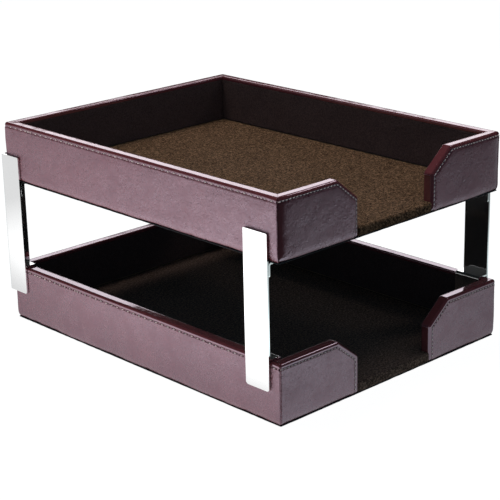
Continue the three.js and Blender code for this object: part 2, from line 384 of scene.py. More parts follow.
def pits(edge_distance, along, tier, least=0.0):
    """1 where the thread goes in, and the least share at the middle of a stitch."""
    between = 0.5 + 0.5 * np.cos(2 * math.pi * along / STITCH_PITCH)
    on_line = hump(edge_distance - STITCH_LINE[tier], PIT_WIDTH)
    return on_line * (least + (1 - least) * between**2)


def furrow(points, edge_distance, along, tier):
    """The stitched furrow, its pits and ridge, and the face's soft waves."""
    off = edge_distance - FURROW_LINE[tier]
    line = RIDGE_HEIGHT * hump(off - RIDGE_OFFSET, RIDGE_WIDTH)
    line -= FURROW_DEPTH[tier] * hump(off, FURROW_WIDTH)
    line -= PIT_DEPTH[tier] * pits(edge_distance, along, tier)
    uneven = SOFT_HEIGHT * waves(points, SOFT_WAVES) + FINE_HEIGHT * waves(points, FINE_WAVES)
    return line + uneven * (RIM_EVENNESS + (1 - RIM_EVENNESS) * rising(edge_distance, 5, 6))


def corner_distance(points):
    """How far in from the tray's upright corner, and 1 on the wing's face."""
    distance = np.clip(HALF_WIDTH - CORNER_RADIUS - np.abs(points[:, 0]), 0, None)
    return distance, rising(RIM_RADIUS - HALF_DEPTH - points[:, 1], 0, 1.6)


def corner_fall(distance, on_face, edge_distance, tier):
    """A wing's face swells a little, and falls away towards the tray's upright corner."""
    swell = CORNER_SWELL[tier] * rising(edge_distance, 1, 6)
    return (swell - (swell + CORNER_FALL[tier]) * np.exp(-distance / CORNER_FALL_WIDTH)) * on_face


def shoulder_fall(normals, edge_distance, along, tier, length):
    """A wall's face falls in a little towards the stitches, except at its ends."""
    upright = (normals[:, :2] ** 2).sum(axis=1)
    shape = hump(edge_distance - SHOULDER_LINE, SHOULDER_WIDTH)
    return -SHOULDER_FALL[tier] * shape * upright * shoulder_fade(length, along)


def shoulder_fade(length, along):
    return rising(length - SHOULDER_END - np.abs(along), 0, SHOULDER_FADE)


# Panels of leather


def tangent(panel):
    """The way along a side wall or the rear wall."""
    return (0, 1, 0) if panel == "wall" else (1, 0, 0)


def panel_length(panel):
    """Half the length of a wall, or of the rear wall and the wings."""
    return HALF_DEPTH if panel == "wall" else HALF_WIDTH


def placed(panel, side, level, along, inset, height):
    """From a panel's own directions to the frame's."""
    z = level + height
    if panel == "wall":
        return (side * (HALF_WIDTH - inset), along, z)
    if panel == "rear":
        return (along, HALF_DEPTH - inset, z)
    return (side * along, inset - HALF_DEPTH, z)


def placed_normal(panel, side, turn, ne, nd):
    """A normal from its parts towards the panel's edge and into it, turned round the corner."""
    along, inset = -nd * math.sin(turn), nd * math.cos(turn)
    if panel == "wall":
        return (-side * inset, along, -ne)
    if panel == "rear":
        return (along, -inset, -ne)
    return (side * along, inset, -ne)


class Sheet:
    """A leather panel's plain surface, point by point, with the distances its details need."""

    def __init__(self, panel, side, level):
        self.panel = panel
        self.side = side
        self.level = level
        self.points, self.normals, self.edges, self.alongs, self.flat = [], [], [], [], []

    def add(self, place, normal, edge, along, flat=None):
        """Adds a point by its place along, in and up, and returns its number."""
        self.points.append(placed(self.panel, self.side, self.level, *place))
        self.normals.append(normal)
        self.edges.append(edge)
        self.alongs.append(along)
        self.flat.append(flat)
        return len(self.points) - 1

    def add_face_point(self, x, b):
        """Adds a point of a wing's face by its place on the face laid flat."""
        z, d, ne, nd = face_row(b)
        along, inset, turn = corner_point(HALF_WIDTH, x, d)
        normal = placed_normal("wing", self.side, turn, ne, nd)
        return self.add((along, inset, z), normal, FAR_IN, 0.0, (x, b))


def skin_object(prefix, tier, sheet, faces):
    """A closed leather panel from its plain surface."""
    points, normals, edge, along = (
        np.array(v, float) for v in (sheet.points, sheet.normals, sheet.edges, sheet.alongs))
    points, faces, normals, edge, along = drop_unused(points, faces, normals, edge, along)
    inner = points - normals * SKIN
    faces = outward(points, inner, faces)
    # Shifted, so that the two trays are uneven in different places
    rise = furrow(points - np.array([0, 0, sheet.level * 0.37]), edge, along, tier)
    burnish_and_corner_shade = 1 - rising(edge, POLISH_LINE, POLISH_FADE)
    if sheet.panel == "wing":
        distance, on_face = corner_distance(points)
        rise += corner_fall(distance, on_face, edge, tier)
        # Painted shade: the upper wings' corners take the rim's darker colour as well as its lower
        # roughness
        corner_polish_and_shade = CORNER_POLISH_AND_SHADE[tier] * hump(distance, CORNER_POLISH_AND_SHADE_WIDTH) * on_face
        burnish_and_corner_shade = np.maximum(burnish_and_corner_shade, corner_polish_and_shade)
    else:
        rise += shoulder_fall(normals, edge, along, tier, panel_length(sheet.panel))
    outer = points + normals * np.maximum(rise, LEAST_SKIN - SKIN)[:, None]
    obj = closed_object(f"{prefix}_skin", outer, inner, faces, LEATHER, f"{tier}_tray",
                        f"{prefix}_leather")
    # Painted shade in the stitch pits, and a faint share of it all along the stitch line
    pit_shade = pits(edge, along, tier, 0.1)
    set_attribute(obj, "rim", np.concatenate([burnish_and_corner_shade, burnish_and_corner_shade * 0]))
    set_attribute(obj, "pit_shade", np.concatenate([pit_shade, pit_shade * 0]))


def long_panel(prefix, tier, panel, side):
    """A side or rear wall's leather, with its stitches."""
    length = panel_length(panel)
    sheet = Sheet(panel, side, LEVELS[tier])
    rows = rim_rows(ROLL[tier]) + foot_rows()
    for e, d, ne, nd in rows:
        for path in wall_alongs(length, d):
            along, inset, turn = corner_point(length, path, d)
            normal = placed_normal(panel, side, turn, ne, nd)
            sheet.add((along, inset, HEIGHT - e), normal, face_edge(e, nd), path)
    columns = len(sheet.points) // len(rows)
    stitches(f"{prefix}_stitches", straight_stitches(panel, side, length, tier), f"{tier}_tray")
    skin_object(prefix, tier, sheet, grid_faces(len(rows), columns))


# A wing's outline: along the top from the tray's corner, down the slant and down the opening

LEVEL_WAY = np.array([-1.0, 0.0])
UPRIGHT_WAY = np.array([0.0, -1.0])
WING_TOP, WING_BEND, WING_SLANT, WING_OPENING = 62, 8, 32, 24


def bend(corner, before, after, radius, steps):
    """Points and directions round one rounded bend, given unit directions before and after."""
    turn = math.acos(np.clip(np.dot(before, after), -1, 1))
    start = corner - before * radius * math.tan(turn / 2)
    left = np.array([-before[1], before[0]])
    if np.dot(left, after) < 0:
        left = -left
    centre = start + left * radius
    result = []
    for t in np.linspace(0, turn, steps + 1):
        place = centre - left * radius * math.cos(t) + before * radius * math.sin(t)
        result.append((place, before * math.cos(t) + left * math.sin(t)))
    return result


def wing_bends(inset, steps):
    """The two bends of the outline moved in, and the direction of the slant between them."""
    down = math.atan2(SLANT_DROP, SLANT_RUN)
    head = np.array([HALF_OPENING + SLANT_RUN + inset * math.tan(down / 2), HEIGHT - inset])
    foot_z = HEIGHT - SLANT_DROP - inset * math.tan((math.pi / 2 - down) / 2)
    foot = np.array([HALF_OPENING + inset, foot_z])
    slant_way = (foot - head) / np.linalg.norm(foot - head)
    radius = max(SLANT_RADIUS - inset, LEAST_BEND)
    return (bend(head, LEVEL_WAY, slant_way, radius, steps),
            bend(foot, slant_way, UPRIGHT_WAY, radius, steps), slant_way)


def wing_path(inset, top_end):
    """Points (along, height) and directions of a ring, from the corner to the wall's foot."""
    first, second, slant_way = wing_bends(inset, WING_BEND)
    rest = np.linspace(top_end - END_BLOCK, first[0][0][0], WING_TOP)[1:-1]
    path = [(np.array([x, HEIGHT - inset]), LEVEL_WAY)
            for x in np.concatenate([top_end - end_steps(), rest])]
    path += first
    for t in np.linspace(0, 1, WING_SLANT)[1:-1]:
        path.append((first[-1][0] * (1 - t) + second[0][0] * t, slant_way))
    path += second
    end = np.array([HALF_OPENING + inset, WALL_FOOT])
    for t in np.linspace(0, 1, WING_OPENING)[1:]:
        path.append((second[-1][0] * (1 - t) + end * t, UPRIGHT_WAY))
    return path


def wing_foot_columns():
    """(height, inset, ne, nd) below the wall's foot: down the face, round the bottom, under it."""
    columns = [(z, 0.0, 0.0, -1.0) for z in np.linspace(WALL_FOOT, ROUNDING_TOP, 3)[1:]]
    columns += [foot_turn(t) for t in arc(FOOT_STEPS)]
    return columns + [(HEM_BOTTOM, d, 1.0, 0.0) for d in HEM_STEPS]


def foot_drop(inset):
    """The flat face's own coordinate at and below the bottom edge's rounding, for an inset."""
    if inset <= RIM_RADIUS:
        return ROUNDING_TOP - FOOT_LENGTH * math.acos(1 - inset / RIM_RADIUS) / (math.pi / 2)
    return ROUNDING_TOP - FOOT_LENGTH - (inset - RIM_RADIUS)


def face_row(b):
    """(height, inset, ne, nd) on a wing's face from its flat coordinate."""
    down = ROUNDING_TOP - b
    if down <= 0:
        return b, 0.0, 0.0, -1.0
    if down <= FOOT_LENGTH:
        return foot_turn(math.pi / 2 * down / FOOT_LENGTH)
    return HEM_BOTTOM, RIM_RADIUS + down - FOOT_LENGTH, 1.0, 0.0


def wing_edges(sheet, rows):
    """The wing's rows round its edge, added to the sheet, and the faces between them."""
    foot_columns = wing_foot_columns()
    for e, d, ne, nd in rows:
        edge, x = face_edge(e, nd), HALF_OPENING + e
        travelled, last = 0.0, None
        for place, way in wing_path(e, path_end(HALF_WIDTH, d)):
            if last is not None:
                travelled += np.linalg.norm(place - last)
            last = place
            along, inset, turn = corner_point(HALF_WIDTH, place[0], d)
            normal = np.array(placed_normal("wing", sheet.side, turn, 0, nd))
            # Rounding lets the lower bend's last direction lean back, which turns one column in
            outer = -1 if way[0] > 0 else 1
            normal += outer * np.array([sheet.side * way[1] * -ne, 0, -way[0] * -ne])
            sheet.add((along, inset, place[1]), normal, edge, travelled, tuple(place))
        for z, foot_d, foot_ne, foot_nd in foot_columns:
            on_foot = foot_d > d or d < CLOSE
            normal = (0.0, foot_nd, -foot_ne) if on_foot else (sheet.side * ne, nd, 0.0)
            travelled += 1
            b = z if z > ROUNDING_TOP - CLOSE else foot_drop(foot_d)
            sheet.add((x, max(d, foot_d), z), normal, edge, travelled, (x, b))
    columns = len(sheet.points) // len(rows)
    first_foot = columns - len(foot_columns) - 1
    first_hem = columns - len(HEM_STEPS) - 1

    def keep(r, c):
        if c < first_foot:
            return True
        row, following = rows[r], rows[r + 1]
        if c < first_hem:
            return row[1] <= RIM_RADIUS + CLOSE and following[3] < 0
        return row[1] < CLOSE and following[1] < CLOSE

    return grid_faces(len(rows), columns, keep), columns


def wing_panel(prefix, tier, side):
    """A wing's leather, with its stitches."""
    sheet = Sheet("wing", side, LEVELS[tier])
    rows = rim_rows(ROLL[tier])
    faces, columns = wing_edges(sheet, rows)
    # The face inside the last row: its outline goes on along the hem and up the tray's corner
    loop = list(range((len(rows) - 1) * columns, len(rows) * columns))
    top, opening_x = sheet.flat[loop[0]][1], sheet.flat[loop[-1]][0]
    hem_xs = np.linspace(opening_x, path_end(HALF_WIDTH, HEM_INNER), 30)[1:]
    loop += [sheet.add_face_point(x, foot_drop(HEM_INNER)) for x in hem_xs]
    insets = [foot_turn(t)[1] for t in arc(FOOT_STEPS)] + list(HEM_STEPS[:-1])
    loop += [sheet.add_face_point(path_end(HALF_WIDTH, inset), foot_drop(inset))
             for inset in reversed(insets)]
    loop += [sheet.add_face_point(path_end(HALF_WIDTH, 0), b)
             for b in np.linspace(ROUNDING_TOP, top, 22)[:-1]]
    polygon = np.array([sheet.flat[i] for i in loop])
    spans = zip(polygon.min(axis=0), polygon.max(axis=0))
    inside = grid_within(polygon, *(np.arange(low, high, FACE_SPACING) for low, high in spans),
                         FACE_SPACING * 0.6)
    turn_x = HALF_WIDTH - CORNER_RADIUS
    inside += [(x, b) for b in np.arange(HEM_BOTTOM + 1, top - 1, 1.8)
               for x in (turn_x, turn_x + 0.8, turn_x + 1.6) if clearance(polygon, x, b) > 0.5]
    # Turned like the last of the rows' faces
    way = sum(triangle_normal(sheet.points, face) for face in faces[-400:])
    for face in fill(polygon, loop, inside, sheet.add_face_point):
        same_way = np.dot(triangle_normal(sheet.points, face), way) >= 0
        faces.append(face if same_way else face[::-1])
    stitches(f"{prefix}_stitches", wing_stitches(side, tier), f"{tier}_tray")
    skin_object(prefix, tier, sheet, faces)


# Stitches, each as its place, tangent and normal


def straight_stitches(panel, side, length, tier):
    """Along a wall. Halves are rounded to the even neighbour, so many places come twice and the
    ones between them stay empty."""
    reach = length - STITCH_END
    count = int(2 * reach / STITCH_PITCH)
    normal = placed_normal(panel, side, 0, 0, -1)
    result = []
    for k in range(count + 1):
        along = (k - count / 2) * STITCH_PITCH
        along = (round(along / STITCH_PITCH - 0.5) + 0.5) * STITCH_PITCH
        if abs(along) <= reach:
            inset = SHOULDER_FALL[tier] * shoulder_fade(length, along)
            place = placed(panel, side, LEVELS[tier], along, inset, HEIGHT - STITCH_LINE[tier])
            result.append((place, tangent(panel), normal))
    return result


def wing_stitches(side, tier):
    """Along the top, down the slant and down the opening edge."""
    line = STITCH_LINE[tier]
    places = [place for place, _ in wing_path(line, path_end(HALF_WIDTH, 0))]
    places = np.array(places + [np.array([HALF_OPENING + line, z]) for z in (6.0, 4.0, 2.8)])
    steps = np.linalg.norm(np.diff(places, axis=0), axis=1)
    lengths = np.concatenate([[0], np.cumsum(steps)])
    result = []
    position = STITCH_PITCH / 2
    while position < lengths[-1] - 1.0:
        a, b = (np.array([np.interp(at, lengths, places[:, i]) for i in (0, 1)])
                for at in (position - STITCH_LENGTH / 2, position + STITCH_LENGTH / 2))
        middle, way = (a + b) / 2, (b - a) / np.linalg.norm(b - a)
        result.append(((side * middle[0], -HALF_DEPTH, LEVELS[tier] + middle[1]),
                       (side * way[0], 0, way[1]), (0, -1, 0)))
        position += STITCH_PITCH
    return result


STITCH_RANDOM = np.random.default_rng(5)


def stitches(name, places, body):
    """Thread stitches, each a short arched tube with its ends in the leather."""
    sides, steps = 8, 8
    points, faces = [], []
    tube = ring_faces(steps + 1, sides)
    tube += [list(range(sides))[::-1], [steps * sides + k for k in range(sides)]]
    for stitch in places:
        place, way, normal = (np.array(v, float) for v in stitch)
        lean = STITCH_RANDOM.normal(0, STITCH_LEAN_SPREAD) + STITCH_LEAN
        way = way * math.cos(lean) + np.cross(normal, way) * math.sin(lean)
        across = np.cross(normal, way)
        faces += [[len(points) + i for i in face] for face in tube]
        for s in range(steps + 1):
            t = -1 + 2 * s / steps
            rise = STITCH_CREST - STITCH_DIVE * abs(t) ** 4
            radius = THREAD_RADIUS * (1 - THREAD_TAPER * t * t)
            centre = place + way * (t * STITCH_LENGTH / 2) + normal * rise
            for k in range(sides):
                angle = 2 * math.pi * k / sides
                points.append(centre + across * radius * math.cos(angle)
                              + normal * radius * math.sin(angle))
    make_object(name, points, faces, THREAD, body)


# Linings

# Steps in from a lining's edge, over which it is rounded
EDGE_RADIUS = 0.6
SOFT_EDGE = (0, 0.08, 0.2, 0.38, EDGE_RADIUS)
EDGE_REST = 1.8
NAP_FADE = 6
WALL_NAP = 0.07
FLOOR_NAP = 0.09


def soft_steps(low, high, spacing):
    """Positions across a panel, close together at both of its rounded edges."""
    edge = np.array([*SOFT_EDGE, 1.0, EDGE_REST])
    count = max(3, int((high - low - 4) / spacing))
    middle = np.linspace(low + EDGE_REST, high - EDGE_REST, count)[1:-1]
    return np.concatenate([low + edge, middle, (high - edge)[::-1]])


def edge_drop(distance):
    inside = np.clip(EDGE_RADIUS - distance, 0, EDGE_RADIUS)
    return EDGE_RADIUS - np.sqrt(EDGE_RADIUS**2 - inside**2)


def wall_lining(prefix, tier, panel, side, reach):
    """A side or rear wall's lining with soft edges."""
    us, vs = soft_steps(-reach, reach, 5), soft_steps(LINING_FOOT, LINING_TOP, 3)
    grid_u, grid_v = (a.ravel() for a in np.meshgrid(us, vs))
    from_end = np.minimum(grid_u - us[0], us[-1] - grid_u)
    from_edge = np.minimum(grid_v - vs[0], vs[-1] - grid_v)
    drop = np.maximum(edge_drop(from_end), edge_drop(from_edge))
    middle, normal, u_way = (np.array(v, float) for v in (
        placed(panel, side, LEVELS[tier], 0, WALL, 0), placed_normal(panel, side, 0, 0, 1),
        tangent(panel)))
    plane = middle + grid_u[:, None] * u_way + grid_v[:, None] * np.array([0.0, 0.0, 1.0])
    swell = WALL_NAP * waves(plane, NAP_WAVES) * rising(from_edge, 0, NAP_FADE)
    inner = plane - normal * LINING
    faces = outward(plane, inner, grid_faces(len(vs), len(us)))
    outer = plane + normal * (swell - drop)[:, None]
    closed_object(f"{prefix}_suede", outer, inner, faces, SUEDE_SHADED_WALL, f"{tier}_tray",
                  f"{prefix}_lining")


def wing_lining(prefix, tier, side):
    """A wing's lining, cut to its slanted outline."""
    edge, wall_x = TURN_IN + GLUE_LINE, HALF_WIDTH - WALL - GLUE_LINE
    first, second, _ = wing_bends(edge, 5)
    corners = [np.array([wall_x, HEIGHT - edge])] + [place for place, _ in first + second]
    corners += [np.array([x, LINING_FOOT]) for x in (HALF_OPENING + edge, wall_x)]
    outline = divided(corners, 2, int)
    count = len(outline)
    way = np.roll(outline, -1, axis=0) - outline
    way /= np.linalg.norm(way, axis=1)[:, None]
    before = np.roll(way, 1, axis=0)
    inward = np.stack([-way[:, 1] - before[:, 1], way[:, 0] + before[:, 0]], axis=1)
    inward /= (1 + (way * before).sum(axis=1))[:, None]
    flat, drops = [], []

    def add(x, z):
        flat.append([x, z])
        drops.append(0.0)
        return len(flat) - 1

    for offset in SOFT_EDGE:
        flat += (outline + inward * offset).tolist()
        drops += [float(edge_drop(offset))] * count
    faces = ring_faces(len(SOFT_EDGE), count)
    polygon = np.array(flat[-count:])
    inside = grid_within(polygon, np.arange(HALF_OPENING + 2, HALF_WIDTH - WALL, 3),
                         np.arange(WALL_FOOT, HEIGHT, 3), 1.4)
    faces += fill(polygon, range(len(flat) - count, len(flat)), inside, add)
    flat = np.array(flat)
    plane = np.stack([side * flat[:, 0], np.full(len(flat), WALL - HALF_DEPTH),
                      LEVELS[tier] + flat[:, 1]], axis=1)
    outer = plane - np.outer(drops, (0, 1, 0))
    inner = plane - np.array([0, LINING, 0])
    closed_object(f"{prefix}_suede", outer, inner, facing_out(outer, inner, faces), SUEDE_SHADED_WALL,
                  f"{tier}_tray", f"{prefix}_lining")


# The floor's suede dips where it meets the walls, and painted shade darkens it there
EDGE_STEPS = np.array([3.6, 2.9, 2.3, 1.8, 1.4, 1.0, 0.5, 0.0])
EDGE_BLOCK = 4.5
FLOOR_SINK = 0.8
SINK_LINE = 0.9
SINK_WIDTH = 1.6
CREASE_SHADE_LINE = 2.0
CREASE_SHADE_FADE = 1.0


def floor_rows(ys):
    """(y, z, ny, nz) over the floor, round the front edge's nose, down and under the base."""
    face, nose, bottom = -HALF_DEPTH, NOSE_RADIUS, RIM_RADIUS
    rows = [(y, FLOOR_TOP, 0.0, 1.0) for y in ys]
    rows += [(y, FLOOR_TOP, 0.0, 1.0) for y in np.linspace(ys[-1], face + nose, 6)[1:]]
    for t in arc(8):
        rows.append((face + nose - nose * math.sin(t), FLOOR_TOP - nose + nose * math.cos(t),
                     -math.sin(t), math.cos(t)))
    front_zs = np.linspace(FLOOR_TOP - nose, HEM_BOTTOM + bottom, 4)[1:]
    rows += [(face, z, -1.0, 0.0) for z in front_zs]
    for t in arc(5):
        rows.append((face + bottom - bottom * math.cos(t),
                     HEM_BOTTOM + bottom - bottom * math.sin(t), -math.cos(t), -math.sin(t)))
    under_ys = np.linspace(face + bottom, face + HEM_INNER, 5)[1:]
    return rows + [(y, HEM_BOTTOM, 0.0, -1.0) for y in under_ys]


def floor_lining(tier):
    """The floor's suede. Between the wings it rolls over the base's front edge and under it."""
    tongue, reach = HALF_OPENING - GLUE_LINE, HALF_WIDTH - LINING_OUTER
    back, front = HALF_DEPTH - LINING_OUTER, LINING_OUTER - HALF_DEPTH
    side_xs = np.concatenate([np.linspace(tongue, reach - EDGE_BLOCK, 16), reach - EDGE_STEPS])
    tongue_xs = np.linspace(-tongue, tongue, 60)[1:-1]
    xs = np.concatenate([-side_xs[::-1], tongue_xs, side_xs])
    ys = np.concatenate([back - EDGE_STEPS[::-1],
                         np.linspace(back - EDGE_BLOCK, front + EDGE_BLOCK, 76),
                         front + EDGE_STEPS])
    rows = floor_rows(ys)
    points = np.array([(x, y, LEVELS[tier] + z) for y, z, _, _ in rows for x in xs])
    normals = np.array([(0, ny, nz) for _, _, ny, nz in rows for _ in xs])
    inner = points - normals * LINING
    first = len(side_xs) - 1
    last = first + len(tongue_xs) + 1
    faces = grid_faces(len(rows), len(xs), lambda r, c: r < len(ys) - 1 or first <= c < last)
    beside = np.minimum(reach - np.abs(points[:, 0]), back - points[:, 1])
    in_wings = np.abs(points[:, 0]) > tongue
    beside = np.where(in_wings, np.minimum(beside, points[:, 1] - front), beside)
    swell = FLOOR_NAP * waves(points, NAP_WAVES) * rising(beside, 0, NAP_FADE)
    sunk = FLOOR_SINK * (1 - rising(beside, SINK_LINE, SINK_WIDTH)) ** 2
    outer = points + normals * (swell - sunk)[:, None]
    # Where painted shade darkens the floor by the walls
    crease_shade = 1 - rising(beside, CREASE_SHADE_LINE, CREASE_SHADE_FADE)
    outer, faces, inner, crease_shade = drop_unused(outer, faces, inner, crease_shade)
    # The lower floor's suede is the copy with painted shade
    suede = SUEDE_FLOOR if tier == "upper" else SUEDE_SHADED_FLOOR
    obj = closed_object(f"{tier}_floor_suede", outer, inner, facing_out(outer, inner, faces), suede,
                        f"{tier}_tray", f"{tier}_floor_lining")
    set_attribute(obj, "crease_shade", np.concatenate([crease_shade, crease_shade]))


# The felt glued under a tray. A ring is its inset, and the heights of its underside and top.
FELT_INSET = 0.8
FELT_SPACING = 4.0
FELT_RINGS = ((0.0, 0.35, 0.75), (0.25, 0.08, 0.95), (0.7, 0.0, 1.0), (2.5, 0.0, 1.0))
FRAY = 0.12
MOST_FRAY = 0.3


def felt_sheet(tier):
    """With rounded corners and a soft, slightly uneven edge."""
    radius = CORNER_RADIUS - FELT_INSET
    centre_x, centre_y = (half - FELT_INSET - radius for half in (HALF_WIDTH, HALF_DEPTH))
    bottom, top = [], []
    for inset, low, high in FELT_RINGS:
        corners = []
        for quarter, (sx, sy) in enumerate(((1, 1), (-1, 1), (-1, -1), (1, -1))):
            centre = np.array([sx * centre_x, sy * centre_y])
            for turn in np.linspace(0, math.pi / 2, 5):
                angle = quarter * math.pi / 2 + turn
                way = np.array([math.cos(angle), math.sin(angle)])
                corners.append(centre + (radius - inset) * way)
        ring = divided(corners, FELT_SPACING, round)
        bottom += [(x, y, LEVELS[tier] + low) for x, y in ring]
        top += [(x, y, LEVELS[tier] + high) for x, y in ring]
    count, last = len(ring), len(bottom) - len(ring)
    faces = ring_faces(len(FELT_RINGS), count) + [[last + k for k in range(count)]]
    bottom, top = np.array(bottom), np.array(top)
    fray = np.minimum(FRAY * np.abs(waves(bottom, FINE_WAVES)), MOST_FRAY)
    bottom[:, 2] += fray * (np.arange(len(bottom)) < 2 * count)
    closed_object(f"{tier}_felt_sheet", bottom, top, facing_out(bottom, top, faces), FELT,
                  f"{tier}_tray", f"{tier}_underside_felt")


# Materials


class Nodes:
    """A short way to write nodes."""

    def __init__(self, tree):
        self.tree = tree

    def add(self, kind, inputs=None, **settings):
        node = self.tree.nodes.new(kind)
        for key, value in settings.items():
            setattr(node, key, value)
        for key, value in (inputs or {}).items():
            self.join(value, node.inputs[key])
        return node

    def join(self, value, socket):
        if isinstance(value, bpy.types.NodeSocket):
            self.tree.links.new(value, socket)
        else:
            socket.default_value = (*value, 1.0) if socket.type == "RGBA" else value

    def ramp(self, value, low, high, to_low=0.0, to_high=1.0, curve="LINEAR"):
        inputs = {"Value": value, "From Min": low, "From Max": high,
                  "To Min": to_low, "To Max": to_high}
        node = self.add("ShaderNodeMapRange", inputs, interpolation_type=curve)
        return node.outputs["Result"]

    def smooth(self, value, low, high, to_low=0.0, to_high=1.0):
        return self.ramp(value, low, high, to_low, to_high, "SMOOTHSTEP")

    def maths(self, operation, a, b=0.0):
        return self.add("ShaderNodeMath", {0: a, 1: b}, operation=operation).outputs[0]

    def times(self, a, b):
        return self.maths("MULTIPLY", a, b)

    def plus(self, a, b):
        return self.maths("ADD", a, b)


class Surface(Nodes):
    """The nodes of a material with the Principled shader."""

    def __init__(self, name):
        self.material = bpy.data.materials.new(name)
        self.material.use_nodes = True
        super().__init__(self.material.node_tree)
        self.shader = self.tree.nodes["Principled BSDF"]
        self.position = self.add("ShaderNodeTexCoord").outputs["Object"]

    def noise(self, scale, detail=2.0, roughness=0.5, position=None, distortion=0.0):
        return self.add("ShaderNodeTexNoise", {
            "Vector": position or self.position, "Scale": scale, "Detail": detail,
            "Roughness": roughness, "Distortion": distortion}).outputs["Fac"]

    def blend(self, factor, a, b):
        inputs = {"Factor": factor, "A": a, "B": b}
        return self.add("ShaderNodeMix", inputs, data_type="RGBA").outputs["Result"]

    def attribute(self, name):
        return self.add("ShaderNodeAttribute", attribute_name=name).outputs["Fac"]

    def bump(self, height, distance, strength=1.0, normal=None):
        inputs = {"Height": height, "Distance": distance, "Strength": strength}
        if normal is not None:
            inputs["Normal"] = normal
        return self.add("ShaderNodeBump", inputs).outputs["Normal"]

    def set(self, **values):
        for key, value in values.items():
            self.join(value, self.shader.inputs[key.replace("_", " ")])
        return self.material


def scaled(colour, factor):
    return tuple(factor * v for v in colour)


def leather_material():
    n = Surface("burgundy_leather")
    mottle = n.ramp(n.noise(22, 3, 0.55), 0.35, 0.68)
    cloud = n.ramp(n.noise(95, 4, 0.65, distortion=0.5), 0.28, 0.72)
    colour = n.blend(mottle, (0.150, 0.036, 0.040), (0.205, 0.052, 0.058))
    colour = n.blend(n.times(cloud, 0.5), colour, (0.090, 0.018, 0.022))
    grain = n.ramp(n.noise(430, 4, 0.75), 0.40, 0.60)
    colour = n.blend(n.times(grain, 0.5), colour, (0.290, 0.090, 0.100))
    cells = {"Vector": n.position, "Scale": 1100, "Smoothness": 0.3}
    pores = n.add("ShaderNodeTexVoronoi", cells, feature="SMOOTH_F1").outputs["Distance"]
    colour = n.blend(n.ramp(pores, 0.0, 0.3, 0.6, 0.0), colour, (0.040, 0.008, 0.009))
    rim, pit_shade = n.attribute("rim"), n.attribute("pit_shade")
    # A deeper red on the burnished rim, and painted shade where the mask covers the upper wings'
    # corners
    colour = n.blend(n.times(rim, 0.75), colour, (0.150, 0.032, 0.034))
    # Painted shade: near black in the stitch pits
    colour = n.blend(pit_shade, colour, (0.010, 0.002, 0.002))
    face = n.maths("SUBTRACT", 1.0, rim)
    relief = n.bump(pores, 0.00018, n.times(face, 0.6))
    relief = n.bump(n.noise(3200, 2, 0.6), 0.00006, n.times(face, 0.4), relief)
    creases = n.noise(210, 4, 0.7, distortion=0.8)
    relief = n.bump(creases, 0.0012, n.times(face, 0.48), relief)
    dull = n.ramp(n.noise(60, 4, 0.65), 0.34, 0.66, 0.20, 0.40)
    dull = n.plus(dull, n.ramp(grain, 0, 1, -0.06, 0.10))
    rough = n.times(dull, n.ramp(rim, 0, 1, 1.0, 0.30))
    rough = n.plus(rough, n.times(pit_shade, 0.45))
    return n.set(Base_Color=colour, Roughness=rough, Normal=relief, IOR=1.8,
                 Specular_IOR_Level=1.0, Specular_Tint=(0.99, 0.78, 0.96))


def thread_material():
    n = Surface("burgundy_thread")
    strands = n.noise(5200, 1, 0.5)
    colour = n.blend(strands, (0.66, 0.48, 0.44), (0.90, 0.76, 0.70))
    return n.set(Base_Color=colour, Roughness=0.36, Normal=n.bump(strands, 0.0001, 0.6),
                 Sheen_Weight=0.2, IOR=1.8, Specular_IOR_Level=1.0)


def suede_material(name, dark, light, sheen, contrast, fineness):
    n = Surface(name)
    nap = n.ramp(n.noise(26, 4, 0.6, distortion=0.8), 0.3, 0.72)
    brushed = n.ramp(n.noise(180, 4, 0.7, distortion=0.4), 0.25, 0.75)
    tufts = n.ramp(n.noise(440 * fineness, 4, 0.85), 0.46, 0.54)
    fibres = n.ramp(n.noise(650 * fineness, 4, 0.85), 0.45, 0.55)
    colour = n.blend(n.plus(n.times(nap, 0.35), n.times(brushed, 0.25)), dark, light)
    colour = n.blend(n.times(tufts, 0.8 * contrast), colour, scaled(light, 1.55))
    colour = n.blend(n.times(fibres, 0.9 * contrast), colour, scaled(dark, 0.15))
    # Painted shade along the floor's edges by the walls
    colour = n.blend(n.times(n.attribute("crease_shade"), 0.9), colour, (0.006, 0.004, 0.003))
    relief = n.bump(fibres, 0.00028, 0.6)
    relief = n.bump(tufts, 0.0004, 0.5, relief)
    relief = n.bump(brushed, 0.0004, 0.3, relief)
    return n.set(Base_Color=colour, Roughness=n.ramp(brushed, 0, 1, 0.86, 0.98), Normal=relief,
                 Specular_IOR_Level=0.1, Sheen_Weight=sheen, Sheen_Roughness=0.45,
                 Sheen_Tint=(0.62, 0.45, 0.32))


def felt_material():
    n = Surface("black_felt")
    fibres = n.noise(1500, 5, 0.75, distortion=1.2)
    colour = n.blend(fibres, (0.006, 0.006, 0.007), (0.030, 0.029, 0.030))
    colour = n.blend(n.times(n.noise(60, 3), 0.4), colour, (0.012, 0.012, 0.013))
    return n.set(Base_Color=colour, Roughness=n.ramp(fibres, 0, 1, 0.9, 1.0),
                 Normal=n.bump(fibres, 0.0005, 0.8), Sheen_Weight=0.2, Specular_IOR_Level=0.15)


def board_material():
    n = Surface("fibreboard")
    fibres = n.noise(420, 6, 0.75)
    flecks = n.ramp(n.noise(1400, 3, 0.8), 0.45, 0.62)
    colour = n.blend(fibres, (0.30, 0.19, 0.11), (0.52, 0.36, 0.22))
    colour = n.blend(n.times(flecks, 0.4), colour, (0.20, 0.12, 0.07))
    return n.set(Base_Color=colour, Roughness=n.ramp(fibres, 0, 1, 0.75, 0.9),
                 Normal=n.bump(fibres, 0.0003, 0.5))


